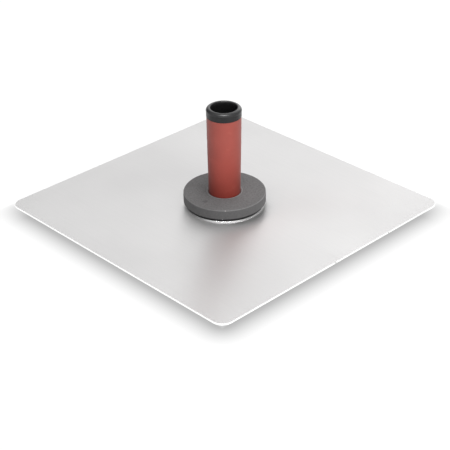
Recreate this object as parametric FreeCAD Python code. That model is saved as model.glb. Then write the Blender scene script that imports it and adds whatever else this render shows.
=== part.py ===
"""Mortar hawk, 13 inch: a square aluminium blade with a screw-on soft-grip handle and a foam pad.

Row frame, millimetres: +Z runs up the handle, z = 0 is the working face of the blade, and the
origin is the middle of that face, on the handle's axis. The blade's sides run along X and Y.
The hawk stands on its working face, handle up, which is how it is put down.

How it comes apart: the handle unscrews from a captive bolt that stands out of a die-cast base.
The base is riveted to the blade and traps the bolt's head. The foam pad slips off over the
handle's open end.
"""

import FreeCAD
import Part
import math
import os

Vector = FreeCAD.Vector
ORIGIN = Vector(0, 0, 0)
UP = Vector(0, 0, 1)

os.makedirs("parts", exist_ok=True)

INCH = 25.4
OVERCUT = 1.0               # how far a cutting tool runs past the face it opens
REST_GAP = 0.05             # height between pieces that rest on each other

# ---------------------------------------------------------------- driving dimensions
# blade
BLADE_SIDE = 13 * INCH
BLADE_T = 2.05              # 12 gauge sheet
BLADE_CORNER_R = INCH / 2
BLADE_EDGE_CHAMFER = 0.30   # the sheared edge is broken on both faces
GROOVE_FIRST_R = 57.0       # shallow concentric grooves on the working face, to key the mortar
GROOVE_PITCH = 12.0
GROOVE_COUNT = 9
GROOVE_DEPTH = 0.25
GROOVE_TOOL_R = 1.2

# handle base: one die casting, standing on the blade
BASE_R = 42.7
BASE_TOP_Z = 6.50
BASE_SHOULDER_R = 37.4      # the top is flat inside this radius, and carries the pad
BASE_STEP_R = 39.2          # outside it the casting steps down to a thin rim
BASE_STEP_Z = 3.80
BASE_RIM_Z = 3.60
BASE_EDGE_ROUND = 0.45
HUB_R = 11.4                # the boss that centres the handle
HUB_TOP_Z = 12.0
HUB_CHAMFER = 1.35
HUB_ROOT = 0.5              # sloped root where the hub meets the flange
RELIEF_IN_R = 17.5          # the casting is hollowed underneath between these radii
RELIEF_OUT_R = 36.6
RELIEF_DEPTH = 1.5
RELIEF_CHAMFER = 0.3
RIB_W = 2.6
RIB_COUNT = 8
RIB_OVERLAP = 2.0           # the ribs reach past both walls of the relief
RIB_LOW_Z = BLADE_T - 1.5
RIVET_BOSS_R = 7.4

# rivets through blade and base
RIVET_PCD = 62.0
RIVET_ANGLES = (45, 135, 225, 315)
RIVET_PLACES = [
    (
        RIVET_PCD / 2 * math.cos(math.radians(angle)),
        RIVET_PCD / 2 * math.sin(math.radians(angle)),
    )
    for angle in RIVET_ANGLES
]
RIVET_R = 2.38              # 3/16 in solid rivet
RIVET_GAP = 0.03
RIVET_HOLE_R = RIVET_R + RIVET_GAP
RIVET_CSK_R = 4.30
RIVET_CSK_DEPTH = 1.50
RIVET_CSK_SLOPE = (RIVET_CSK_R - RIVET_R) / RIVET_CSK_DEPTH
RIVET_CSK_OVERCUT = 0.5
RIVET_FACE_GAP = 0.02       # the flush head sits just under the working face
RIVET_POCKET_R = 5.60
RIVET_POCKET_Z = 4.20
RIVET_BUTTON_R = 4.40
RIVET_BUTTON_H = 1.95
RIVET_BUTTON_EDGE = 0.35    # straight edge of the button, below its dome

# 3/8-16 UNC thread, drawn as a plain round on its pitch diameter
PITCH_R = 4.247             # half of 0.3344 in
THREAD_GAP = 0.053          # radial running clearance
THREAD_MAJOR_R = 3 / 8 * INCH / 2   # the crests, which the plain holes clear
HEX_TRIM_OVER = 0.05        # a trimming ring stands this far outside the hexagon's corners

# captive bolt
BOLT_AF = 14.29             # 9/16 in hexagon
BOLT_HEAD_H = 5.90
BOLT_LENGTH = INCH          # under the head
BOLT_FACE_RATIO = 0.97      # flat of the head's bottom face, as a share of the hexagon
BOLT_HEAD_TRIM_H = 0.72
BOLT_TRIM_DROP = 0.001      # the trim starts just below the head
BOLT_UNDERHEAD_R = 4.85     # outer edge of the cone under the head
BOLT_UNDERHEAD_H = 0.6
BOLT_TIP = 1.3              # chamfer on the end
BOLT_POCKET_GAP = 0.10
BOLT_POCKET_TOP_GAP = 0.03
BOLT_HOLE_R = THREAD_MAJOR_R + 0.19
HEAD_BOTTOM_Z = BLADE_T + REST_GAP
HEAD_TOP_Z = HEAD_BOTTOM_Z + BOLT_HEAD_H

# friction washer between hub and handle
WASHER_R = 11.1
WASHER_HOLE_R = THREAD_MAJOR_R + 0.39
WASHER_T = 1.55
WASHER_CHAMFER = 0.25
WASHER_GAP = 0.03           # below and above it
WASHER_Z = HUB_TOP_Z + WASHER_GAP

# moulded handle core: foot
FOOT_Z = BASE_TOP_Z + REST_GAP
FOOT_R = 16.55
FOOT_H = 3.4
FOOT_TOP_Z = FOOT_Z + FOOT_H
FOOT_CHAMFER = 0.4
RECESS_R = 11.65
RECESS_MOUTH = 0.8          # chamfer that clears the hub's root
RECESS_TOP_Z = WASHER_Z + WASHER_T + WASHER_GAP
BEAD_R = 10.96              # a snap bead under the washer keeps it in the foot
BEAD_LOW_Z = 11.25          # its slopes and crest, from the bottom up
BEAD_CREST_LOW_Z = WASHER_Z - 0.24
BEAD_CREST_TOP_Z = WASHER_Z - 0.06
BEAD_TOP_Z = WASHER_Z + 0.05

# threaded insert, moulded into the core
INSERT_LENGTH = 15.9
INSERT_AF = 14.29
INSERT_END_TRIM_H = 0.65    # height of the trimmed hexagon corners at both ends
INSERT_MOUTH_R = 5.05       # lead-in at both ends
INSERT_MOUTH_H = 0.8
INSERT_BASE_Z = RECESS_TOP_Z + 0.40
INSERT_TOP_Z = INSERT_BASE_Z + INSERT_LENGTH

# moulded handle core: web and bore
WEB_TOP_Z = 31.0
WEB_HOLE_R = 5.6
BORE_R = 14.20              # the open, hollow end of the handle
BORE_LOW_Z = 44.0
BORE_BOTTOM_R = 12.0
BORE_TAPER_Z = BORE_LOW_Z - 5.5     # the bore narrows from BORE_LOW_Z down to here
BORE_BOTTOM_CHAMFER = 1.0
GUSSET_COUNT = 6
GUSSET_W = 1.8
GUSSET_TURN = 30            # degrees from +X to the first one
GUSSET_IN_R = 7.6
GUSSET_IN_H = 1.6           # height above the web at the inner end
GUSSET_SINK = 0.5           # depth in the web
GUSSET_OUT_R = BORE_BOTTOM_R + 0.8
GUSSET_CREST_R = BORE_BOTTOM_R - 0.9
GUSSET_TOP_Z = BORE_TAPER_Z - 0.1

# moulded handle core: collar and lip at the open end
COLLAR_Z = 106.9            # where the soft grip stops
COLLAR_R = 18.72
COLLAR_CHAMFER = 0.25
LIP_R = 18.95
LIP_Z = 113.2
LIP_FLARE = (               # arc from collar to lip, as (radius, z)
    (COLLAR_R, LIP_Z - 0.9),
    (COLLAR_R + 0.06, LIP_Z - 0.33),
    (LIP_R, LIP_Z + 0.10),
)
HANDLE_TOP_Z = 116.9
LIP_OUT_ROUND = 3.5
LIP_IN_ROUND = 1.2

# soft grip: (z, outside radius), a slight swell towards the free end
GRIP = [
    (FOOT_TOP_Z, 17.28),
    (17.8, 17.32),
    (30.0, 17.42),
    (42.0, 17.60),
    (54.0, 17.82),
    (66.0, 18.02),
    (78.0, 18.20),
    (90.0, 18.33),
    (101.0, 18.44),
    (COLLAR_Z, 18.48),
]
SLEEVE_T = 1.80
SLEEVE_ROUND = 0.55
SLEEVE_TOP_INSET = 0.004    # the side meets the top round this far inside its full radius
SLEEVE_BLANK_IN_R = 12.9    # inside the core, which is then cut out of the blank
ANCHOR_HEIGHTS = (24.0, 46.0, 68.0, 90.0)   # keying grooves in the core, filled by the grip
ANCHOR_W = 3.0
ANCHOR_SLOPE_H = 0.3
ANCHOR_DEPTH = 0.55

# foam pad
PAD_R = 44.75               # nominally 3 1/2 in across
PAD_HOLE_R = 19.15          # the hole as stretched, so that it clears the handle's lip
PAD_LOW_Z = BASE_TOP_Z + REST_GAP
PAD_T = 11.25
PAD_EDGE = 0.7


# ---------------------------------------------------------------- helpers
def ring(points):
    """A solid turned about Z from a closed polygon of (radius, z) corners."""
    wire = Part.makePolygon([Vector(r, 0, z) for r, z in points + points[:1]])
    return Part.Face(wire).revolve(ORIGIN, UP, 360)


def turned(path):
    """A solid turned about Z from a closed path in the XZ plane.

    A (radius, z) tuple is a corner reached by a straight line. A list of two such points is
    the middle and end of an arc, and a longer list is a spline through its points.
    """
    edges = []
    here = Vector(path[0][0], 0, path[0][1])
    for item in path[1:] + path[:1]:
        points = item if isinstance(item, list) else [item]
        points = [here] + [Vector(r, 0, z) for r, z in points]
        if len(points) == 2:
            edges.append(Part.makeLine(*points))
        elif len(points) == 3:
            edges.append(Part.Arc(*points).toShape())
        else:
            spline = Part.BSplineCurve()
            spline.interpolate(points)
            edges.append(spline.toShape())
        here = points[-1]
    wire = Part.Wire(Part.__sortEdges__(edges))
    return Part.Face(wire).revolve(ORIGIN, UP, 360)


def round_path(centre, radius, start, end):
    """Path items for an arc about (radius, z) = centre: its start corner, then its arc."""
    def at(angle):
        turn = math.radians(angle)
        return (centre[0] + radius * math.cos(turn), centre[1] + radius * math.sin(turn))
    return at(start), [at((start + end) / 2.0), at(end)]


def corner_radius(across_flats):
    return across_flats / math.sqrt(3.0)


def hexagon(across_flats, low, height):
    """A hexagonal prism on the axis, with a corner on +X."""
    radius = corner_radius(across_flats)
    turns = [math.radians(60 * i) for i in range(7)]
    points = [Vector(radius * math.cos(t), radius * math.sin(t), low) for t in turns]
    return Part.Face(Part.makePolygon(points)).extrude(Vector(0, 0, height))


def cylinder(radius, low, high, x=0.0, y=0.0):
    return Part.makeCylinder(radius, high - low, Vector(x, y, low))


def spin(shape, angle):
    shape.rotate(ORIGIN, UP, angle)


def save(name, shape):
    solids = shape.Solids
    made = solids[0] if len(solids) == 1 else Part.makeCompound(solids)
    if not made.isValid() or not solids:
        raise SystemExit("bad shape: " + name)
    made.exportStep("parts/" + name + ".step")


# ---------------------------------------------------------------- blade
def make_blade():
    half = BLADE_SIDE / 2.0
    blade = Part.makeBox(BLADE_SIDE, BLADE_SIDE, BLADE_T, Vector(-half, -half, 0))
    upright = [
        e for e in blade.Edges
        if abs(e.Vertexes[0].Z - e.Vertexes[-1].Z) > BLADE_T / 2.0
    ]
    blade = blade.makeFillet(BLADE_CORNER_R, upright)
    level = [e for e in blade.Edges if abs(e.BoundBox.ZMax - e.BoundBox.ZMin) < 1e-6]
    blade = blade.makeChamfer(BLADE_EDGE_CHAMFER, level)

    # the countersink's slope carries on below the working face
    sink_low_r = RIVET_CSK_R + RIVET_GAP + RIVET_CSK_SLOPE * RIVET_CSK_OVERCUT
    sink_h = RIVET_CSK_DEPTH + RIVET_CSK_OVERCUT
    for x, y in RIVET_PLACES:
        blade = blade.cut(cylinder(RIVET_HOLE_R, -OVERCUT, BLADE_T + OVERCUT, x, y))
        sink_at = Vector(x, y, -RIVET_CSK_OVERCUT)
        blade = blade.cut(Part.makeCone(sink_low_r, RIVET_HOLE_R, sink_h, sink_at))

    groove_at = Vector(0, 0, GROOVE_DEPTH - GROOVE_TOOL_R)
    for i in range(GROOVE_COUNT):
        radius = GROOVE_FIRST_R + i * GROOVE_PITCH
        blade = blade.cut(Part.makeTorus(radius, GROOVE_TOOL_R, groove_at))
    return blade


# ---------------------------------------------------------------- handle base
def make_relief():
    """The hollow under the casting, less its radial ribs and the bosses round the rivets."""
    top = BLADE_T + RELIEF_DEPTH
    relief = ring([
        (RELIEF_IN_R, BLADE_T - OVERCUT),
        (RELIEF_OUT_R, BLADE_T - OVERCUT),
        (RELIEF_OUT_R, top - RELIEF_CHAMFER),
        (RELIEF_OUT_R - RELIEF_CHAMFER, top),
        (RELIEF_IN_R + RELIEF_CHAMFER, top),
        (RELIEF_IN_R, top - RELIEF_CHAMFER),
    ])
    rib_length = RELIEF_OUT_R - RELIEF_IN_R + 2 * RIB_OVERLAP
    rib_at = Vector(RELIEF_IN_R - RIB_OVERLAP, -RIB_W / 2, RIB_LOW_Z)
    for i in range(RIB_COUNT):
        rib = Part.makeBox(rib_length, RIB_W, RELIEF_DEPTH + 3, rib_at)
        spin(rib, 360.0 / RIB_COUNT * i)
        relief = relief.cut(rib)
    for x, y in RIVET_PLACES:
        relief = relief.cut(cylinder(RIVET_BOSS_R, RIB_LOW_Z, top + OVERCUT, x, y))
    return relief


def make_base():
    rim_centre = (BASE_R - BASE_EDGE_ROUND, BASE_RIM_Z - BASE_EDGE_ROUND)
    base = turned([
        (0, BLADE_T),
        (BASE_R, BLADE_T),
        *round_path(rim_centre, BASE_EDGE_ROUND, 0, 90),
        (BASE_STEP_R, BASE_STEP_Z),
        (BASE_SHOULDER_R, BASE_TOP_Z),
        (HUB_R + HUB_ROOT, BASE_TOP_Z),
        (HUB_R, BASE_TOP_Z + HUB_ROOT),
        (HUB_R, HUB_TOP_Z - HUB_CHAMFER),
        (HUB_R - HUB_CHAMFER, HUB_TOP_Z),
        (0, HUB_TOP_Z),
    ])
    base = base.cut(make_relief())

    # pocket for the bolt's head, and the hole for its shank
    low = BLADE_T - OVERCUT
    pocket_h = HEAD_TOP_Z + BOLT_POCKET_TOP_GAP - low
    base = base.cut(hexagon(BOLT_AF + 2 * BOLT_POCKET_GAP, low, pocket_h))
    base = base.cut(cylinder(BOLT_HOLE_R, low, HUB_TOP_Z + OVERCUT))

    high = BASE_TOP_Z + OVERCUT
    for x, y in RIVET_PLACES:
        base = base.cut(cylinder(RIVET_HOLE_R, low, high, x, y))
        base = base.cut(cylinder(RIVET_POCKET_R, RIVET_POCKET_Z, high, x, y))
    return base


# ---------------------------------------------------------------- rivets
def make_rivet(x, y):
    """A flush countersunk head at the working face and a domed button in the base's pocket."""
    low = RIVET_FACE_GAP
    button_z = RIVET_POCKET_Z + RIVET_GAP
    edge_z = button_z + RIVET_BUTTON_EDGE
    top = button_z + RIVET_BUTTON_H
    rise = RIVET_BUTTON_H - RIVET_BUTTON_EDGE
    dome_r = (RIVET_BUTTON_R ** 2 + rise ** 2) / (2 * rise)
    half_angle = math.asin(RIVET_BUTTON_R / dome_r) / 2
    dome_mid = (
        dome_r * math.sin(half_angle),
        top - dome_r + dome_r * math.cos(half_angle),
    )
    rivet = turned([
        (0, low),
        (RIVET_CSK_R - RIVET_CSK_SLOPE * low, low),
        (RIVET_R, RIVET_CSK_DEPTH),
        (RIVET_R, button_z),
        (RIVET_BUTTON_R, button_z),
        (RIVET_BUTTON_R, edge_z),
        [dome_mid, (0, top)],
    ])
    rivet.translate(Vector(x, y, 0))
    return rivet


# ---------------------------------------------------------------- captive bolt
def make_bolt():
    trim_r = corner_radius(BOLT_AF) + HEX_TRIM_OVER
    trim_low = HEAD_BOTTOM_Z - BOLT_TRIM_DROP
    head = hexagon(BOLT_AF, HEAD_BOTTOM_Z, BOLT_HEAD_H)
    head = head.common(ring([
        (0, trim_low),
        (BOLT_AF / 2.0 * BOLT_FACE_RATIO, trim_low),
        (trim_r, HEAD_BOTTOM_Z + BOLT_HEAD_TRIM_H),
        (trim_r, HEAD_TOP_Z + OVERCUT),
        (0, HEAD_TOP_Z + OVERCUT),
    ]))
    # the rod starts inside the head
    top = HEAD_TOP_Z + BOLT_LENGTH
    rod = ring([
        (0, HEAD_TOP_Z - 1),
        (BOLT_UNDERHEAD_R, HEAD_TOP_Z - 1),
        (BOLT_UNDERHEAD_R, HEAD_TOP_Z),
        (PITCH_R, HEAD_TOP_Z + BOLT_UNDERHEAD_H),
        (PITCH_R, top - BOLT_TIP),
        (PITCH_R - BOLT_TIP, top),
        (0, top),
    ])
    return head.fuse(rod).removeSplitter()


# ---------------------------------------------------------------- friction washer
def make_washer():
    top = WASHER_Z + WASHER_T
    return ring([
        (WASHER_HOLE_R, WASHER_Z),
        (WASHER_R - WASHER_CHAMFER, WASHER_Z),
        (WASHER_R, WASHER_Z + WASHER_CHAMFER),
        (WASHER_R, top - WASHER_CHAMFER),
        (WASHER_R - WASHER_CHAMFER, top),
        (WASHER_HOLE_R, top),
    ])


# ---------------------------------------------------------------- threaded insert
def make_insert_blank():
    """The insert before its hole: also the cavity that it fills in the core."""
    trim_r = corner_radius(INSERT_AF) + HEX_TRIM_OVER
    return hexagon(INSERT_AF, INSERT_BASE_Z, INSERT_LENGTH).common(ring([
        (0, INSERT_BASE_Z),
        (INSERT_AF / 2.0, INSERT_BASE_Z),
        (trim_r, INSERT_BASE_Z + INSERT_END_TRIM_H),
        (trim_r, INSERT_TOP_Z - INSERT_END_TRIM_H),
        (INSERT_AF / 2.0, INSERT_TOP_Z),
        (0, INSERT_TOP_Z),
    ]))


def make_insert():
    hole_r = PITCH_R + THREAD_GAP
    return make_insert_blank().cut(ring([
        (0, INSERT_BASE_Z - OVERCUT),
        (INSERT_MOUTH_R, INSERT_BASE_Z - OVERCUT),
        (INSERT_MOUTH_R, INSERT_BASE_Z),
        (hole_r, INSERT_BASE_Z + INSERT_MOUTH_H),
        (hole_r, INSERT_TOP_Z - INSERT_MOUTH_H),
        (INSERT_MOUTH_R, INSERT_TOP_Z),
        (INSERT_MOUTH_R, INSERT_TOP_Z + OVERCUT),
        (0, INSERT_TOP_Z + OVERCUT),
    ]))


# ---------------------------------------------------------------- handle core
def core_radius(z):
    """Outside radius of the core under the soft grip, at a height within the grip."""
    for (z0, r0), (z1, r1) in zip(GRIP, GRIP[1:]):
        if z <= z1:
            return r0 + (r1 - r0) * (z - z0) / (z1 - z0) - SLEEVE_T


def core_side():
    """The core's outline under the grip, from the foot's top edge up to the collar."""
    side = [(FOOT_R, FOOT_TOP_Z), (core_radius(FOOT_TOP_Z), FOOT_TOP_Z)]
    for z in ANCHOR_HEIGHTS:
        low, high = z - ANCHOR_W / 2, z + ANCHOR_W / 2
        floor_r = core_radius(z) - ANCHOR_DEPTH
        side += [
            (core_radius(low), low),
            (floor_r, low + ANCHOR_SLOPE_H),
            (floor_r, high - ANCHOR_SLOPE_H),
            (core_radius(high), high),
        ]
    return side + [(core_radius(COLLAR_Z), COLLAR_Z)]


def make_gusset(angle):
    """A gusset in the bottom of the bore, from the web to the wall."""
    low = WEB_TOP_Z - GUSSET_SINK
    corners = [
        (GUSSET_IN_R, low),
        (GUSSET_OUT_R, low),
        (GUSSET_OUT_R, GUSSET_TOP_Z),
        (GUSSET_CREST_R, GUSSET_TOP_Z),
        (GUSSET_IN_R, WEB_TOP_Z + GUSSET_IN_H),
        (GUSSET_IN_R, low),
    ]
    wire = Part.makePolygon([Vector(r, -GUSSET_W / 2, z) for r, z in corners])
    gusset = Part.Face(wire).extrude(Vector(0, GUSSET_W, 0))
    spin(gusset, angle)
    return gusset


def make_core():
    lip_out = (LIP_R - LIP_OUT_ROUND, HANDLE_TOP_Z - LIP_OUT_ROUND)
    lip_in = (BORE_R + LIP_IN_ROUND, HANDLE_TOP_Z - LIP_IN_ROUND)
    flare_start, flare_mid, flare_end = LIP_FLARE
    core = turned([
        # up the outside
        (RECESS_R + RECESS_MOUTH, FOOT_Z),
        (FOOT_R - FOOT_CHAMFER, FOOT_Z),
        (FOOT_R, FOOT_Z + FOOT_CHAMFER),
        *core_side(),
        (COLLAR_R - COLLAR_CHAMFER, COLLAR_Z),
        (COLLAR_R, COLLAR_Z + COLLAR_CHAMFER),
        flare_start,
        [flare_mid, flare_end],
        *round_path(lip_out, LIP_OUT_ROUND, 0, 90),
        # down the bore to the web
        *round_path(lip_in, LIP_IN_ROUND, 90, 180),
        (BORE_R, BORE_LOW_Z),
        (BORE_BOTTOM_R, BORE_TAPER_Z),
        (BORE_BOTTOM_R, WEB_TOP_Z + BORE_BOTTOM_CHAMFER),
        (BORE_BOTTOM_R - BORE_BOTTOM_CHAMFER, WEB_TOP_Z),
        (WEB_HOLE_R, WEB_TOP_Z),
        # down the recess in the foot, past the bead
        (WEB_HOLE_R, RECESS_TOP_Z),
        (RECESS_R, RECESS_TOP_Z),
        (RECESS_R, BEAD_TOP_Z),
        (BEAD_R, BEAD_CREST_TOP_Z),
        (BEAD_R, BEAD_CREST_LOW_Z),
        (RECESS_R, BEAD_LOW_Z),
        (RECESS_R, FOOT_Z + RECESS_MOUTH),
    ])
    for i in range(GUSSET_COUNT):
        core = core.fuse(make_gusset(360.0 / GUSSET_COUNT * i + GUSSET_TURN))
    return core.cut(make_insert_blank())


# ---------------------------------------------------------------- soft grip sleeve
def make_sleeve():
    """The grip, moulded over the core: a turned blank less the core's solid outline."""
    low_z, low_r = GRIP[0]
    top_z, top_r = GRIP[-1]
    low_centre = (low_r - SLEEVE_ROUND, low_z + SLEEVE_ROUND)
    top_centre = (top_r - SLEEVE_ROUND, top_z - SLEEVE_ROUND)
    top_arc = round_path(top_centre, SLEEVE_ROUND, 0, 90)[1]
    side = [(r, z) for z, r in GRIP[1:-1]]
    side.append((top_r - SLEEVE_TOP_INSET, top_z - SLEEVE_ROUND))
    sleeve = turned([
        (SLEEVE_BLANK_IN_R, low_z),
        *round_path(low_centre, SLEEVE_ROUND, -90, 0),
        side,
        top_arc,
        (SLEEVE_BLANK_IN_R, top_z),
    ])
    return sleeve.cut(turned(core_side() + [(0, COLLAR_Z), (0, FOOT_TOP_Z)]))


# ---------------------------------------------------------------- foam pad
def make_pad():
    top = PAD_LOW_Z + PAD_T
    edge_r = PAD_R - PAD_EDGE
    return turned([
        (PAD_HOLE_R, PAD_LOW_Z),
        *round_path((edge_r, PAD_LOW_Z + PAD_EDGE), PAD_EDGE, -90, 0),
        *round_path((edge_r, top - PAD_EDGE), PAD_EDGE, 0, 90),
        (PAD_HOLE_R, top),
    ])


# ---------------------------------------------------------------- one file per piece
save("blade", make_blade())
save("handle_base", make_base())
save("base_rivets", Part.makeCompound([make_rivet(x, y) for x, y in RIVET_PLACES]))
save("captive_bolt", make_bolt())
save("friction_washer", make_washer())
save("threaded_insert", make_insert())
save("handle_core", make_core())
save("grip_sleeve", make_sleeve())
save("foam_pad", make_pad())
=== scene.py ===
"""A mortar hawk: brushed aluminium sheet, soft red grip on a black moulded core, foam hand pad.

Metres. The square sheet lies flat just above z = 0, centred on the Z axis with its sides
along X and Y. The handle and the pad round its foot stand on it along +Z. The camera looks
down from the -X -Y side.
"""
import bpy, bmesh
import math
from mathutils import Matrix, Vector, noise


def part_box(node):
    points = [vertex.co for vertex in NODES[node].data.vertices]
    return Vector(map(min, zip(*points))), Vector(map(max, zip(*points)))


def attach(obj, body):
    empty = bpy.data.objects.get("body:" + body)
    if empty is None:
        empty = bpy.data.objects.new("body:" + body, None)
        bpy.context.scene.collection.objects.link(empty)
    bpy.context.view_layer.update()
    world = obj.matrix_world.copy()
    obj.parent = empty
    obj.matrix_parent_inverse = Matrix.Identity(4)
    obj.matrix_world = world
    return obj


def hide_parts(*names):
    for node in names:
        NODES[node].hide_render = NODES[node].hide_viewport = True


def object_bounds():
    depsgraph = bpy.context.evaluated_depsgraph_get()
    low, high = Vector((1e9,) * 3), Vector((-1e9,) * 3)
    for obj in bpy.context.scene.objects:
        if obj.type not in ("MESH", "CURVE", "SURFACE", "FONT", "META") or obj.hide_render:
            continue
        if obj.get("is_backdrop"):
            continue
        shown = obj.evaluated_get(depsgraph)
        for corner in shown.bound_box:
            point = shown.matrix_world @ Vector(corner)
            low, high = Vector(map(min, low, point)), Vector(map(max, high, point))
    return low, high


INCH = 0.0254
BLADE_HALF = 6.5 * INCH             # half the side of the square sheet
BLADE_CORNER = INCH / 2             # radius of its corners
VIEW_AZIMUTH = math.radians(-44.192)
FLOOR_Z = -0.0003

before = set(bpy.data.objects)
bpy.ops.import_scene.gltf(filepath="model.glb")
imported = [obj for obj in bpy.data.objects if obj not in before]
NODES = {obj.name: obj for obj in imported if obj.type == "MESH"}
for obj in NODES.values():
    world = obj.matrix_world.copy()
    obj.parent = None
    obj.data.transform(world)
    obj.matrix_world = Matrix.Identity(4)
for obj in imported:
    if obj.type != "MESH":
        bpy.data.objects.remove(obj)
scene = bpy.context.scene


def as_lists(value):
    """A bounding box as plain lists of numbers, whatever form it comes in."""
    if isinstance(value, dict):
        return {k: as_lists(v) for k, v in value.items()}
    # a plain number can't be iterated: it is the innermost value
    try:
        return [as_lists(v) for v in value]
    except TypeError:
        return round(float(value), 6)


cad_box = as_lists(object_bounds())


# ------------------------------------------------------------------ node helpers
def operator(kind, swapped=False):
    """A method that adds one math node; swapped is for a plain number on the left."""
    def apply(self, other=0.0):
        pair = (other, self) if swapped else (self, other)
        return self.nodes.math(kind, *pair)
    return apply


class Wire:
    """A value running through a node tree. Arithmetic on it adds math nodes."""

    def __init__(self, nodes, socket):
        self.nodes = nodes
        self.socket = socket

    __add__ = operator("ADD")
    __radd__ = operator("ADD", swapped=True)
    __sub__ = operator("SUBTRACT")
    __rsub__ = operator("SUBTRACT", swapped=True)
    __mul__ = operator("MULTIPLY")
    __pow__ = operator("POWER")
    __abs__ = operator("ABSOLUTE")
    sqrt = operator("SQRT")
    max = operator("MAXIMUM")

    def map(self, over=(0.3, 0.7), to=(0.0, 1.0), smooth=False):
        """Rescales the span `over` to the span `to`, clamped. Noise mostly lies in 0.3-0.7."""
        node = self.nodes.node("ShaderNodeMapRange")
        if smooth:
            node.interpolation_type = "SMOOTHSTEP"
        self.nodes.put(node.inputs["Value"], self)
        for key, value in zip(("From Min", "From Max", "To Min", "To Max"), (*over, *to)):
            node.inputs[key].default_value = value
        return self.nodes.out(node)


class Nodes:
    """Builds a node tree up to its output node."""

    def __init__(self, tree, output_kind):
        self.tree = tree
        tree.nodes.clear()
        self.output = self.node(output_kind).inputs[0]
        self.coord = self.node("ShaderNodeTexCoord")

    def node(self, kind, **settings):
        node = self.tree.nodes.new(kind)
        for key, value in settings.items():
            setattr(node, key, value)
        return node

    def out(self, node, key=0):
        return Wire(self, node.outputs[key])

    def put(self, socket, value):
        """Links a wire to the socket, or sets the socket's own value."""
        if isinstance(value, Wire):
            self.tree.links.new(value.socket, socket)
        else:
            socket.default_value = value

    def math(self, operation, first, second):
        node = self.node("ShaderNodeMath", operation=operation)
        self.put(node.inputs[0], first)
        self.put(node.inputs[1], second)
        return self.out(node)

    def texture(self, kind, output, stretch, turn, shift, **inputs):
        """A texture in object space, through a mapping node if it is scaled, turned or moved."""
        vector = self.out(self.coord, "Object")
        if stretch or turn or shift:
            mapping = self.node("ShaderNodeMapping")
            self.put(mapping.inputs["Vector"], vector)
            mapping.inputs["Scale"].default_value = stretch or (1, 1, 1)
            mapping.inputs["Rotation"].default_value = (0, 0, turn)
            mapping.inputs["Location"].default_value = shift or (0, 0, 0)
            vector = self.out(mapping)
        node = self.node(kind)
        self.put(node.inputs["Vector"], vector)
        for key, value in inputs.items():
            node.inputs[key].default_value = value
        return self.out(node, output)

    def noise(self, scale=1.0, detail=2.0, rough=0.5, stretch=None, turn=0.0, shift=None):
        return self.texture("ShaderNodeTexNoise", "Fac", stretch, turn, shift,
                            Scale=scale, Detail=detail, Roughness=rough)

    def voronoi(self, scale, shift=None):
        return self.texture("ShaderNodeTexVoronoi", "Distance", None, 0.0, shift, Scale=scale)

    def mix(self, amount, base, tint, blend="MIX"):
        """Mixes tint into base. A colour is a wire, three numbers, or one number for a grey."""
        node = self.node("ShaderNodeMix", data_type="RGBA", blend_type=blend)
        self.put(node.inputs[0], amount)
        for socket, colour in ((node.inputs[6], base), (node.inputs[7], tint)):
            if isinstance(colour, float):
                colour = (colour, colour, colour)
            if isinstance(colour, tuple):
                colour = (*colour, 1)
            self.put(socket, colour)
        return self.out(node, 2)

    def multiply(self, base, tint):
        return self.mix(1.0, base, tint, blend="MULTIPLY")

    def sep(self, coord="Object"):
        """The x, y and z of a texture coordinate."""
        node = self.node("ShaderNodeSeparateXYZ")
        self.put(node.inputs[0], self.out(self.coord, coord))
        return [self.out(node, i) for i in range(3)]

    def vector_math(self, operation, coord, vector):
        node = self.node("ShaderNodeVectorMath", operation=operation)
        self.put(node.inputs[0], self.out(self.coord, coord))
        node.inputs[1].default_value = vector
        return self.out(node, "Value")

    def spot(self, centre, size):
        """1 at a point on the object, falling to 0 at the given distance from it."""
        away = self.vector_math("DISTANCE", "Object", centre)
        return away.map(over=(size * 0.4, size), to=(1.0, 0.0), smooth=True)


class Material(Nodes):
    """A material with one Principled shader."""

    def __init__(self, name):
        self.data = bpy.data.materials.new(name)
        self.data.use_nodes = True
        super().__init__(self.data.node_tree, "ShaderNodeOutputMaterial")
        self.bsdf = self.node("ShaderNodeBsdfPrincipled")
        self.put(self.output, self.out(self.bsdf))

    def set(self, **inputs):
        for key, value in inputs.items():
            self.put(self.bsdf.inputs[key.replace("_", " ")], value)

    def bump(self, height, strength, distance):
        node = self.node("ShaderNodeBump")
        node.inputs["Strength"].default_value = strength
        node.inputs["Distance"].default_value = distance
        self.put(node.inputs["Height"], height)
        self.set(Normal=self.out(node))


def radius_of(x, y):
    """The distance from the Z axis."""
    return (x * x + y * y).sqrt()


def paint(obj, material):
    slots = obj.data.materials
    if slots:
        for i in range(len(slots)):
            slots[i] = material
    else:
        slots.append(material)


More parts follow.
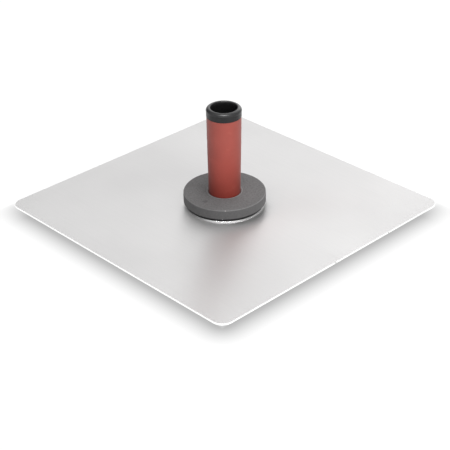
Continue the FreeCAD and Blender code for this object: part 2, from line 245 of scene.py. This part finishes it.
# ------------------------------------------------------------------ materials
# Factors on a wire are its share in a sum, or the strength of a tint.
def blade_material():
    m = Material("blade_brushed_aluminium")
    flat = abs(m.sep("Normal")[2]).map(over=(0.80, 0.97))    # 1 on the big faces, 0 on the edge

    # the grain of the rolled sheet runs along Y: long thin streaks at three widths
    fine = m.noise(detail=3.0, rough=0.62, stretch=(1500, 16, 60))
    mid = m.noise(rough=0.55, stretch=(330, 5.0, 30), shift=(3.1, 0.4, 0))
    broad = m.noise(detail=1.0, stretch=(48, 2.2, 10), shift=(7.7, 1.9, 0))
    cloud = m.noise(scale=7.0, detail=3.0, rough=0.55, shift=(0.31, 0.12, 0))
    grain = fine * 0.6 + (mid * 0.36 + broad * 0.12)

    # short handling scratches in two directions
    scratch_a = m.noise(detail=1.0, rough=0.4, stretch=(900, 7, 40), turn=0.62)
    scratch_a = scratch_a.map(over=(0.70, 0.76))
    scratch_b = m.noise(detail=1.0, rough=0.4, stretch=(800, 6, 40), turn=-0.95, shift=(2, 5, 0))
    scratch_b = scratch_b.map(over=(0.71, 0.77))
    scratch = scratch_a.max(scratch_b)

    col = m.mix(grain.map(over=(0.35, 0.75)),
                base=(0.785, 0.779, 0.778), tint=(0.825, 0.819, 0.816))
    col = m.mix(cloud.map(to=(0.0, 0.30)), col, tint=(0.785, 0.777, 0.778))
    edge_col = m.mix(m.noise(scale=160.0, rough=0.6),
                     base=(0.86, 0.86, 0.855), tint=(0.95, 0.95, 0.945))
    # two small burrs on the sheared edge
    burr = m.spot(centre=(-0.0055, -BLADE_HALF, 0.0012), size=0.0011).max(
        m.spot(centre=(0.0776, -BLADE_HALF, 0.0012), size=0.0010))
    edge_col = m.mix(burr * 0.85, edge_col, tint=0.16)
    col = m.mix(flat, edge_col, col)

    rough = grain.map(over=(0.3, 0.8), to=(0.45, 0.52)) + cloud.map(to=(-0.02, 0.03))
    rough = rough + scratch * 0.08
    rough = rough * flat + (1.0 - flat) * 0.42               # the edge has one even roughness
    tangent = m.node("ShaderNodeCombineXYZ")
    tangent.inputs["X"].default_value = 1.0                  # across the grain
    m.set(Base_Color=col, Metallic=flat.map(over=(0.0, 1.0), to=(0.10, 0.79)),
          Roughness=rough, Anisotropic=flat * 0.88, Tangent=m.out(tangent))

    # painted light: the burnished sheared edge glows in its own colour, most on the faces towards
    # -X
    facing = m.sep("Normal")[0].map(over=(-1.0, 0.0), to=(0.58, 0.27))
    m.set(Emission_Color=edge_col,
          Emission_Strength=facing * flat.map(over=(0.0, 1.0), to=(1.0, 0.0)))
    m.bump(grain * 1.0 + scratch * -0.35, strength=0.22, distance=0.00006)
    return m.data


def cast_material():
    m = Material("base_cast_aluminium")
    fine = m.noise(scale=900.0, detail=3.0, rough=0.6)
    coarse = m.noise(scale=140.0)
    col = m.mix(coarse.map(), base=0.88, tint=0.96)

    # painted shade: the step under the pad is painted near black, rougher and less metallic
    x, y, z = m.sep()
    rad = radius_of(x, y)
    painted_step_shade = rad.map(over=(0.0372, 0.0378)) * rad.map(over=(0.0421, 0.0424), to=(1.0, 0.0))
    painted_step_shade = painted_step_shade * z.map(over=(0.0030, 0.0034))
    col = m.mix(painted_step_shade * 0.90, col, tint=0.016)

    # painted shade: the rim is darkened at its left and right as the camera sees it, and left
    # bright towards and away from the camera
    across = x * 0.717 + y * -0.697                          # position from left to right in view
    painted_rim_shade = (across.map(over=(0.009, 0.028), to=(1.0, 0.55), smooth=True)
            * across.map(over=(-0.030, -0.012), to=(0.45, 1.0), smooth=True))
    painted_rim_shade = painted_rim_shade.max(rad.map(over=(0.0417, 0.0421), to=(1.0, 0.0)))
    col = m.multiply(col, painted_rim_shade)

    painted_rim_glow = rad.map(over=(0.0421, 0.0425)) * painted_rim_shade             # painted light: the rim's outer edge glows faintly
    m.set(Emission_Color=col, Emission_Strength=painted_rim_glow * 0.10)
    m.set(Base_Color=col, Metallic=1.0 - painted_step_shade * 0.7,
          Roughness=fine.map(to=(0.20, 0.32)) + painted_step_shade * 0.4)
    m.bump(fine + coarse * 0.7, strength=0.35, distance=0.00012)
    return m.data


def plain_material(name, grain, dark, light, rough, strength, distance, tone=None, **inputs):
    """One noise for roughness and bump, and for colour too unless `tone` gives another."""
    m = Material(name)
    grain = m.noise(**grain)
    tone = m.noise(**tone) if tone else grain
    m.set(Base_Color=m.mix(tone.map(), dark, light), Roughness=grain.map(to=rough), **inputs)
    m.bump(grain, strength, distance)
    return m.data


def rivet_material():
    return plain_material(
        "rivet_aluminium", grain=dict(scale=700.0, detail=3.0, rough=0.6),
        dark=(0.74, 0.74, 0.735), light=(0.86, 0.86, 0.855), rough=(0.26, 0.40),
        strength=0.25, distance=0.0001, Metallic=1.0)


def steel_material():
    return plain_material(
        "bolt_zinc_plate", grain=dict(scale=420.0), tone=dict(scale=90.0),
        dark=(0.60, 0.60, 0.57), light=(0.74, 0.73, 0.68), rough=(0.22, 0.36),
        strength=0.12, distance=0.00008, Metallic=1.0)


def nylon_material():
    return plain_material(
        "washer_nylon", grain=dict(scale=300.0),
        dark=(0.70, 0.685, 0.62), light=(0.78, 0.765, 0.70), rough=(0.42, 0.55),
        strength=0.15, distance=0.00008,
        Subsurface_Weight=0.15, Subsurface_Radius=(0.002, 0.0018, 0.0014))


def brass_material():
    # the noise is squeezed along Z into turning rings
    return plain_material(
        "insert_brass", grain=dict(stretch=(120, 120, 2600)),
        dark=(0.62, 0.44, 0.17), light=(0.78, 0.58, 0.27), rough=(0.24, 0.38),
        strength=0.15, distance=0.00006, Metallic=1.0)


def core_material():
    m = Material("core_black_plastic")
    grain = m.noise(scale=2600.0)
    big = m.noise(scale=60.0)
    scuff = m.noise(detail=3.0, rough=0.6, stretch=(260, 260, 900)).map(over=(0.62, 0.78))
    col = m.mix(big.map(), base=(0.0105, 0.0105, 0.0112), tint=(0.0150, 0.0150, 0.0157))
    col = m.mix(scuff * 0.35, col, tint=(0.07, 0.07, 0.072))

    # painted shade: darker inside the bore
    x, y, z = m.sep()
    rad = radius_of(x, y)
    bore = (rad.map(over=(0.0144, 0.0152), to=(1.0, 0.0))
            * z.map(over=(0.1130, 0.1150), to=(1.0, 0.0)))
    col = m.mix(bore * 0.6, col, tint=0.002)

    # less shine on the outer wall below the top lip
    wall = z.map(over=(0.1125, 0.1140), to=(1.0, 0.0)) * rad.map(over=(0.0160, 0.0170))
    m.set(Specular_IOR_Level=wall.map(over=(0.0, 1.0), to=(0.40, 0.26)))
    m.set(Base_Color=col, Roughness=grain.map(to=(0.27, 0.36)) + scuff * 0.08)
    m.bump(grain, strength=0.25, distance=0.00006)
    return m.data


def grip_material():
    m = Material("grip_red_soft_rubber")
    grain = m.noise(scale=1900.0, detail=3.0, rough=0.6)
    big = m.noise(scale=26.0, detail=3.0, rough=0.55)
    wear = m.noise(scale=70.0, detail=4.0, rough=0.6)
    col = m.mix(big.map(), base=(0.345, 0.061, 0.044), tint=(0.384, 0.072, 0.053))
    col = m.mix(grain.map(over=(0.35, 0.65), to=(0.0, 0.25)), col, tint=(0.316, 0.053, 0.040))
    col = m.mix(wear.map(over=(0.60, 0.78), to=(0.0, 0.22)), col, tint=(0.53, 0.17, 0.14))

    # painted shade: darker towards the foot, where the pad shades it
    low = m.sep()[2].map(over=(0.016, 0.060), to=(0.68, 1.0), smooth=True)
    low = low * wear.map(to=(0.96, 1.04))
    col = m.multiply(col, low)

    # painted shade: darker where the surface turns away from the camera
    facing = m.out(m.node("ShaderNodeLayerWeight"), "Facing")
    col = m.multiply(col, facing.map(over=(0.18, 0.75), to=(1.0, 0.74)))

    # painted shade: deeper, darker red towards the foot, near the dark pad
    painted_foot_shade = m.sep()[2].map(over=(0.018, 0.070), to=(1.0, 0.0))
    col = m.mix(painted_foot_shade, col, m.multiply(col, tint=(1.0, 0.84, 0.80)))

    m.set(Base_Color=col, Roughness=grain.map(to=(0.48, 0.58)) + wear.map(to=(-0.03, 0.03)))
    m.set(Specular_IOR_Level=m.sep()[2].map(over=(0.018, 0.085), to=(0.26, 0.60)),
          Sheen_Weight=0.06, Sheen_Roughness=0.45)
    m.bump(grain, strength=0.30, distance=0.00008)
    return m.data


def foam_material():
    m = Material("pad_closed_cell_foam")
    cells = m.voronoi(scale=1150.0)
    pores = m.voronoi(scale=520.0, shift=(0.2, 0.7, 0.1))
    speck = m.noise(scale=2400.0, rough=0.6)
    cloud = m.noise(scale=45.0, detail=4.0, rough=0.6)
    level = abs(m.sep("Normal")[2])                          # 1 on flat faces, 0 on the sides
    col = m.mix(cloud.map(), base=(0.156, 0.155, 0.156), tint=(0.192, 0.191, 0.192))
    col = m.mix(speck.map(over=(0.35, 0.68), to=(0.0, 0.5)), col, tint=(0.225, 0.221, 0.222))
    grit = m.noise(scale=500.0, detail=3.0, rough=0.75, shift=(0.5, 0.1, 0.9))
    col = m.mix(grit.map(over=(0.32, 0.47), to=(0.60, 0.0)), col, tint=(0.105, 0.103, 0.104))
    col = m.mix(grit.map(over=(0.54, 0.68), to=(0.0, 0.50)), col, tint=(0.270, 0.266, 0.267))
    col = m.mix(pores.map(over=(0.10, 0.26), to=(0.55, 0.0)), col, tint=(0.075, 0.073, 0.074))
    # painted shade: the sides are darker than the flat faces
    col = m.mix(level.map(over=(0.2, 0.8), to=(0.70, 0.0)), col, tint=(0.092, 0.090, 0.091))

    # painted highlights: pale lines along the outer top edge and, stronger, the top edge of the
    # hole
    x, y, z = m.sep()
    rad = radius_of(x, y)
    top_rim = rad.map(over=(0.0438, 0.0444)) * z.map(over=(0.0167, 0.0173))
    hole_rim = (rad.map(over=(0.0192, 0.0200), to=(1.0, 0.0))
                * z.map(over=(0.0166, 0.0173)))
    rim_highlights = (top_rim * 0.55).max(hole_rim) * speck.map(to=(0.5, 1.0))
    col = m.mix(rim_highlights * 0.70, col, tint=(0.36, 0.355, 0.355))

    # one dark patch on the top, front left of the handle
    dark_patch = (m.spot(centre=(-0.0318, -0.0028, 0.0178), size=0.0042)
              * m.noise(scale=420.0, rough=0.6).map(over=(0.35, 0.6), to=(0.3, 1.0)))
    col = m.mix(dark_patch * 0.50, col, tint=(0.075, 0.073, 0.074))

    # painted shade: the cut underside and the lowest band of the side are painted near black
    under = m.sep("Normal")[2].map(over=(-0.9, -0.4), to=(1.0, 0.0))
    under = under.max(z.map(over=(0.0069, 0.0077), to=(0.9, 0.0)))
    col = m.mix(under, col, tint=0.018)

    # two pale crumbs, on the top and at the lower edge
    crumb = m.spot(centre=(-0.0306, -0.0324, 0.0176), size=0.0009).max(
        m.spot(centre=(-0.0329, -0.0302, 0.0068), size=0.0009))
    col = m.mix(crumb * 0.8, col, tint=(0.55, 0.54, 0.53))

    m.set(Base_Color=col, Roughness=0.93, Specular_IOR_Level=0.25, Sheen_Weight=0.10)
    height = cells * 0.6 + (pores.map(over=(0.08, 0.30), to=(0.0, 0.8)) + cloud * 0.6)
    m.bump(height, strength=0.55, distance=0.00022)
    return m.data


mats = {
    "blade": blade_material(),
    "handle_base": cast_material(),
    "base_rivets": rivet_material(),
    "captive_bolt": steel_material(),
    "friction_washer": nylon_material(),
    "threaded_insert": brass_material(),
    "handle_core": core_material(),
    "grip_sleeve": grip_material(),
    "foam_pad": foam_material(),
}
for name, obj in NODES.items():
    paint(obj, mats[name])


# ------------------------------------------------------------------ mesh helpers
def new_object(bm, name):
    mesh = bpy.data.meshes.new(name)
    bm.to_mesh(mesh)
    bm.free()
    obj = bpy.data.objects.new(name, mesh)
    scene.collection.objects.link(obj)
    return obj


def solid_object(bm, name):
    """An object from a closed mesh, smooth shaded, with its normals outward."""
    bmesh.ops.recalc_face_normals(bm, faces=bm.faces)
    obj = new_object(bm, name)
    for face in obj.data.polygons:
        face.use_smooth = True
    return obj


def hand_over(obj, body, node, slot):
    paint(obj, mats[node])
    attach(obj, body)
    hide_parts(node)


# ------------------------------------------------------------------ foam hand pad
GRIP_RADIUS = 0.01732
HOLE_RADIUS = GRIP_RADIUS + 0.00018     # closes on the grip
RIM_ROUND = 0.0007                      # rounding of the outer edges
HOLE_ROUND = 0.0015                     # rounding of the hole's edges
WAVE_START = 0.03                       # radius beyond which the outline wavers


def arc(centre_r, centre_z, radius, start, end, steps):
    """Points (r, z) on an arc, angles in degrees."""
    angles = [math.radians(start + (end - start) * i / steps) for i in range(steps + 1)]
    return [(centre_r + radius * math.cos(a), centre_z + radius * math.sin(a)) for a in angles]


def between(a, b, steps):
    """The points strictly between a and b."""
    return [(a[0] + (b[0] - a[0]) * i / steps, a[1] + (b[1] - a[1]) * i / steps)
            for i in range(1, steps)]


def pad_profile(outer, bottom, top):
    """The closed (r, z) section: rounded corners joined by straight sides."""
    rim, hole = outer - RIM_ROUND, HOLE_RADIUS + HOLE_ROUND
    arcs = [
        arc(rim, top - RIM_ROUND, RIM_ROUND, start=90, end=0, steps=6),
        arc(rim, bottom + RIM_ROUND, RIM_ROUND, start=0, end=-90, steps=6),
        arc(hole, bottom + HOLE_ROUND, HOLE_ROUND, start=-90, end=-180, steps=5),
        arc(hole, top - HOLE_ROUND, HOLE_ROUND, start=180, end=90, steps=5),
    ]
    side_steps = (8, 20, 8, 22)          # outer side, underside, hole, top
    profile = []
    for corner, following, steps in zip(arcs, arcs[1:] + arcs[:1], side_steps):
        profile += corner + between(corner[-1], following[0], steps)
    return profile


def lathe(name, profile, segments):
    """A closed ring turned about Z from a closed profile of (r, z) points."""
    bm = bmesh.new()
    rings = []
    for i in range(segments):
        a = 2 * math.pi * i / segments
        rings.append([bm.verts.new((r * math.cos(a), r * math.sin(a), z)) for r, z in profile])
    count = len(profile)
    for i in range(segments):
        ring, following = rings[i], rings[(i + 1) % segments]
        for j in range(count):
            k = (j + 1) % count
            bm.faces.new((ring[j], following[j], following[k], ring[k]))
    return solid_object(bm, name)


def soften_pad(pad, outer, bottom, top):
    """Die-cut foam is never quite flat or round.

    Adds slow and quick waves, a hollow in the cut side and a lip pushed up round the handle.
    """
    for vert in pad.data.vertices:
        x, y, z = vert.co
        r = math.hypot(x, y)
        up = (z - bottom) / (top - bottom)
        slow = noise.noise(Vector((x * 38, y * 38, z * 30 + 3.1)))
        quick = noise.noise(Vector((x * 130, y * 130, z * 90 + 9.7)))
        off_hole = max(0.0, min(1.0, (r - HOLE_RADIUS - 0.001) / 0.012))
        vert.co.z += (0.00022 * slow + 0.00007 * quick) * up * off_hole
        vert.co.z += 0.00035 * up * math.exp(-((r - HOLE_RADIUS) / 0.0022) ** 2)   # lip
        if r > WAVE_START:
            share = (r - WAVE_START) / (outer - WAVE_START)
            ends = (2 * up - 1) ** 2     # 0 at mid height, 1 at top and bottom
            out = (0.00022 * slow + 0.00008 * quick - 0.00016 * ends) * share
            vert.co.x += x / r * out
            vert.co.y += y / r * out


def build_pad():
    low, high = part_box("foam_pad")
    size = (high.x, low.z, high.z)       # outer radius, bottom, top
    pad = lathe("hand_pad_foam", pad_profile(*size), segments=256)
    soften_pad(pad, *size)
    subdivision = pad.modifiers.new("fine", "SUBSURF")
    subdivision.levels = subdivision.render_levels = 1
    hand_over(pad, "pad", "foam_pad", "pad_foam")


build_pad()

# ------------------------------------------------------------------ helical threads
PITCH = INCH / 16
MAJOR = 3 * INCH / 16 - 0.00006         # crest radius, a little under nominal
MINOR = 0.00378                         # root radius
CREST_WIDTH = 0.00026                   # width of the flat crest along Z
ROOT_WIDTH = 0.00120                    # width of the ridge where it meets the root
STEPS_PER_PITCH = 24
NUT_GROWTH = 0.00012                    # how much larger the insert's thread is cut

SHANK_RADIUS = 0.00435
FILLET = 0.0005                         # flare of the shank under the head
HEAD_HEIGHT = 0.0059
RUN_OUT = 0.0016                        # plain shank, and then the rise to full thread
THREAD_END = 0.0003                     # thread stops this far short of an end
TIP_FADE = 0.0014
TIP_TAPER = 0.0006                      # how far the radius shrinks at the tip
INSERT_FADE = 0.0011
INSERT_MOUTH = 0.00505                  # bore radius at the insert's ends
CORNER_CUT = 0.0005                     # corner radius beyond half the flats in the chamfer


def ease(t):
    t = max(0.0, min(1.0, t))
    return t * t * (3 - 2 * t)


def thread_ring(z, grow, blend, plain_radius):
    """One closed ring of a right-hand thread's skin at height z.

    The helix is tied to z = 0, so the nut and the bolt are in mesh. `blend` runs from
    0, a plain cylinder, to 1, the full thread.
    """
    crest, root = (CREST_WIDTH + grow) / 2, (ROOT_WIDTH + grow) / 2
    stops = [-crest, 0.0, crest]
    stops += [crest + (root - crest) * i / 4 for i in (1, 2, 3, 4)]
    stops += [root + (PITCH - 2 * root) * i / 4 for i in (1, 2, 3, 4)]
    stops += [PITCH - root + (root - crest) * i / 4 for i in (1, 2, 3)]
    points = []
    for stop in stops:
        off = abs(stop - PITCH if stop > PITCH / 2 else stop)
        if off <= crest:
            r = MAJOR + grow
        elif off >= root:
            r = MINOR + grow
        else:
            r = MAJOR + grow + (MINOR - MAJOR) * (off - crest) / (root - crest)
        r = plain_radius + (r - plain_radius) * blend
        angle = 2 * math.pi * (z - stop) / PITCH
        points.append((r * math.cos(angle), r * math.sin(angle), z))
    return points


def bands(bm, rings):
    """Quads between each ring of vertices and the next."""
    for a, b in zip(rings, rings[1:]):
        count = len(a)
        for i in range(count):
            k = (i + 1) % count
            bm.faces.new((a[i], a[k], b[k], b[i]))


def thread_skin(bm, start, end, ring_at):
    """The threaded surface from start to end; returns its first and last rings."""
    count = max(1, int(round((end - start) / PITCH * STEPS_PER_PITCH)))
    heights = [start + (end - start) * i / count for i in range(count + 1)]
    rings = [[bm.verts.new(point) for point in ring_at(z)] for z in heights]
    bands(bm, rings)
    return rings[0], rings[-1]


def join_rings(bm, a, b):
    """Faces between two closed rings about Z with different counts, walked by angle."""
    def turn(vert):
        return math.atan2(vert.co.y, vert.co.x) % (2 * math.pi)

    def next_turn(ring, i):
        return turn(ring[(i + 1) % len(ring)]) + (2 * math.pi if i + 1 >= len(ring) else 0)

    a, b = sorted(a, key=turn), sorted(b, key=turn)
    i = j = 0
    while i < len(a) or j < len(b):
        here_a, here_b = a[i % len(a)], b[j % len(b)]
        if j >= len(b) or (i < len(a) and next_turn(a, i) <= next_turn(b, j)):
            bm.faces.new((here_a, a[(i + 1) % len(a)], here_b))
            i += 1
        else:
            bm.faces.new((here_a, b[(j + 1) % len(b)], here_b))
            j += 1


def hex_ring(bm, flats, z, limit=None, per_side=6):
    """A hexagon's outline at height z, its corners cut back to radius `limit` if given."""
    corner = flats / math.sqrt(3.0)
    ring = []
    for k in range(6):
        start, end = (
            Vector((corner * math.cos(a), corner * math.sin(a)))
            for a in (math.radians(60 * k), math.radians(60 * (k + 1))))
        for i in range(per_side):
            point = start.lerp(end, i / per_side)
            if limit and point.length > limit:
                point = point.normalized() * limit
            ring.append(bm.verts.new((point.x, point.y, z)))
    return ring


def hex_sides(bm, flats, levels):
    """Hexagonal sides through (z, corner limit) levels; returns their rings."""
    rings = [hex_ring(bm, flats, z, limit) for z, limit in levels]
    bands(bm, rings)
    return rings


def finish_threaded(bm, name, *place):
    obj = solid_object(bm, name)
    obj.data.set_sharp_from_angle(angle=math.radians(28))
    hand_over(obj, *place)


def build_bolt(flats, head, tip):
    """The bolt: chamfered hexagonal head at the bottom, threaded shank above."""
    under = head + HEAD_HEIGHT           # where the shank leaves the head

    def ring_at(z):
        blend = (ease((z - under - RUN_OUT) / RUN_OUT)
                 * ease((tip - THREAD_END - z) / TIP_FADE))
        if z < (under + tip) / 2:
            plain = SHANK_RADIUS + FILLET * max(0.0, 1 - (z - under) / FILLET) ** 2
        else:
            plain = MINOR - TIP_TAPER * ease((z - tip + TIP_FADE) / TIP_FADE)
        return thread_ring(z, 0.0, blend, plain)

    bm = bmesh.new()
    sides = hex_sides(bm, flats, [
        (head, flats / 2 * 0.96),
        (head + 0.0004, flats / 2 + CORNER_CUT),
        (head + 0.0007, None),
        (under, None),
    ])
    bm.faces.new(sides[0])
    first, last = thread_skin(bm, under, tip, ring_at)
    join_rings(bm, sides[-1], first)
    bm.faces.new(last)
    finish_threaded(bm, "bolt_with_thread", "root", "captive_bolt", "bolt_steel")


def build_insert(flats, bottom, top):
    """The threaded insert: a hexagon chamfered at both ends, threaded inside."""
    def ring_at(z):
        blend = (ease((z - bottom - THREAD_END) / INSERT_FADE)
                 * ease((top - THREAD_END - z) / INSERT_FADE))
        return thread_ring(z, NUT_GROWTH, blend, INSERT_MOUTH)

    bm = bmesh.new()
    face, cut = flats / 2 * 0.99, flats / 2 + CORNER_CUT
    sides = hex_sides(bm, flats, [
        (bottom, face), (bottom + 0.00035, cut), (bottom + 0.00065, None),
        (top - 0.00065, None), (top - 0.00035, cut), (top, face),
    ])
    first, last = thread_skin(bm, bottom, top, ring_at)
    join_rings(bm, sides[0], first)
    join_rings(bm, sides[-1], last)
    finish_threaded(bm, "insert_with_thread", "handle", "threaded_insert", "insert_brass")


bolt_low, bolt_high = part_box("captive_bolt")
hex_flats = min(bolt_high.y - bolt_low.y, bolt_high.x - bolt_low.x)
build_bolt(hex_flats, bolt_low.z, bolt_high.z)
insert_low, insert_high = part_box("threaded_insert")
build_insert(hex_flats, insert_low.z, insert_high.z)

# ------------------------------------------------------------------ floor
SHADES_PER_METRE = 30.0                 # the shade is 1/30 m wide
SHADE_ROUNDNESS = 2.6                   # exponent of its rounded corner; 2 is a circle


def floor_material():
    """Glowing white, with a soft shade along the blade's -X and -Y sides."""
    data = bpy.data.materials.new("floor_white")
    data.use_nodes = True
    m = Nodes(data.node_tree, "ShaderNodeOutputMaterial")
    x, y, _ = m.sep()
    over_x = x * -1.0 - BLADE_HALF      # how far beyond the -X side
    over_y = y * -1.0 - BLADE_HALF      # how far beyond the -Y side

    def corner_part(over):
        return (over + BLADE_CORNER).max(0.0) * SHADES_PER_METRE

    # distance from the blade's outline, in shade widths
    part_x, part_y = corner_part(over_x), corner_part(over_y)
    distance = (part_x ** SHADE_ROUNDNESS + part_y ** SHADE_ROUNDNESS) ** (1.0 / SHADE_ROUNDNESS)
    distance = distance - BLADE_CORNER * SHADES_PER_METRE
    near = distance.map(over=(0.0, 1.0), to=(1.0, 0.0)) ** 1.60 * 0.61     # falloff, depth
    contact = distance.map(over=(0.0, 0.14), to=(-0.035, 0.0), smooth=True)

    def fade(position, over):
        """Fades the shade of one side out at that side's far end."""
        past = (position - BLADE_HALF).map(over=(-0.034, 0.002), to=(1.0, 0.0)) ** 0.60
        return past * over.map(over=(-0.012, 0.0))

    shade = (near + contact) * fade(y, over_x).max(fade(x, over_y))
    glow = m.node("ShaderNodeEmission")
    m.put(glow.inputs["Strength"], 1.0 - shade)
    diffuse = m.node("ShaderNodeBsdfDiffuse")
    diffuse.inputs["Color"].default_value = (0.05, 0.05, 0.05, 1)
    both = m.node("ShaderNodeAddShader")
    m.put(both.inputs[0], m.out(glow))
    m.put(both.inputs[1], m.out(diffuse))
    m.put(m.output, m.out(both))
    return data


def build_floor():
    bm = bmesh.new()
    bmesh.ops.create_grid(bm, x_segments=1, y_segments=1, size=30.0)
    floor = new_object(bm, "floor")
    floor.location.z = FLOOR_Z
    floor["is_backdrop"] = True
    paint(floor, floor_material())


build_floor()


# ------------------------------------------------------------------ light
def build_world():
    """A plain white sweep.

    Mirror-like surfaces see a broad pale backdrop that fades to the sides, matt ones a
    soft even dome, and the camera plain white.
    """
    world = bpy.data.worlds.new("studio")
    scene.world = world
    world.use_nodes = True
    w = Nodes(world.node_tree, "ShaderNodeOutputWorld")

    def along(vector):
        return w.vector_math("DOT_PRODUCT", "Generated", vector)

    cos, sin = math.cos(VIEW_AZIMUTH), math.sin(VIEW_AZIMUTH)
    side = along((cos, sin, 0.0))        # -1 left, +1 right, as the camera sees it
    depth = along((-sin, cos, 0.0))      # +1 behind the object
    height = along((0.0, 0.0, 1.0))

    # the backdrop, brighter to the right, dimmed high up, at the horizon and at both sides
    sweep = 1.78 + side * 2.0
    sweep = sweep * height.map(over=(0.36, 0.75), to=(1.20, 0.675))
    sweep = sweep * height.map(over=(0.05, 0.40), to=(0.55, 1.0), smooth=True)
    sweep = sweep * side.map(over=(0.30, 0.85), to=(1.0, 0.18), smooth=True)
    sweep = sweep * side.map(over=(-0.85, -0.12), to=(0.10, 1.0), smooth=True)
    front = depth.map(over=(-0.35, 0.25), to=(0.85, 1.0), smooth=True)
    ahead = depth.map(over=(0.10, 0.50), smooth=True)        # where the backdrop stands

    # every other way round the light is plain, but brighter low behind the camera
    away = height.map(over=(0.0, 0.30), to=(0.60, 0.80))
    level_front = (depth.map(over=(-0.75, -0.30), to=(1.0, 0.0), smooth=True)
                   * abs(side).map(over=(0.35, 0.65), to=(1.0, 0.0), smooth=True))
    away = away + level_front * 0.65
    glossy = sweep * front * ahead + away * (1.0 - ahead)

    dome = height.map(over=(-0.2, 1.0), to=(0.31, 0.72)) + side * 0.37
    path = w.node("ShaderNodeLightPath")
    seen = w.mix(w.out(path, "Is Camera Ray"), dome, 1.0)
    background = w.node("ShaderNodeBackground")
    w.put(background.inputs[0], w.mix(w.out(path, "Is Glossy Ray"), seen, glossy))
    w.put(w.output, w.out(background))


def area(name, at, target, size, power, size_y=None, glossy=False):
    """An area light aimed at a point; `glossy` lets it show in reflections."""
    light = bpy.data.lights.new(name, "AREA")
    light.energy = power
    light.size = size
    if size_y:
        light.shape = "RECTANGLE"
        light.size_y = size_y
    obj = bpy.data.objects.new(name, light)
    scene.collection.objects.link(obj)
    obj.location = at
    obj.rotation_euler = (Vector(target) - Vector(at)).to_track_quat("-Z", "Y").to_euler()
    obj.visible_glossy = glossy
    return obj


build_world()

# a strip above the handle that only the black core and the cast base see:
# it draws the soft highlight along the lip and the rim
strip = area("strip_over_lip", at=(-0.34, -0.35, 0.98), target=(0, 0, 0.115),
             size=0.55, size_y=0.32, power=10.5, glossy=True)
lit_by_strip = bpy.data.collections.new("lit_by_strip")
lit_by_strip.objects.link(NODES["handle_core"])
lit_by_strip.objects.link(NODES["handle_base"])
strip.light_linking.receiver_collection = lit_by_strip

area("key_back_right", at=(1.1, 0.55, 1.1), target=(0, 0, 0.03), size=1.0, power=3.0)
area("fill_front", at=(0.09, -0.79, 0.66), target=(0, 0, 0.08), size=0.5, power=2.7)
area("fill_low", at=(-0.66, -0.76, 0.22), target=(0, 0, 0.06), size=0.8, power=3.9)

# ------------------------------------------------------------------ camera
VIEW_ELEVATION = math.radians(30.5861)
VIEW_ROLL = math.radians(-0.5296)
VIEW_TARGET = Vector((-0.0306935, -0.0324768, 0.0))
VIEW_DISTANCE = 1.3352982
LENS_MM = 101.011936
LENS_SHIFT = 0.00111111111              # left and up, as a share of the picture's width


def build_camera():
    az, el, roll = VIEW_AZIMUTH, VIEW_ELEVATION, VIEW_ROLL
    back = Vector((math.sin(az) * math.cos(el), -math.cos(az) * math.cos(el), math.sin(el)))
    right = Vector((math.cos(az), math.sin(az), 0))
    up = back.cross(right)
    cam_x = math.cos(roll) * right + math.sin(roll) * up
    cam_y = -math.sin(roll) * right + math.cos(roll) * up
    camera = bpy.data.cameras.new("camera")
    camera.sensor_width = 36.0
    camera.lens = LENS_MM
    camera.clip_end = 100.0
    camera.shift_x = -LENS_SHIFT
    camera.shift_y = LENS_SHIFT
    obj = bpy.data.objects.new("camera", camera)
    scene.collection.objects.link(obj)
    obj.matrix_world = Matrix((cam_x, cam_y, back)).transposed().to_4x4()
    obj.location = VIEW_TARGET + back * VIEW_DISTANCE
    scene.camera = obj


build_camera()
scene.view_settings.view_transform = "Standard"
scene.view_settings.look = "None"

{"cad": cad_box, "visual": as_lists(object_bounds())}
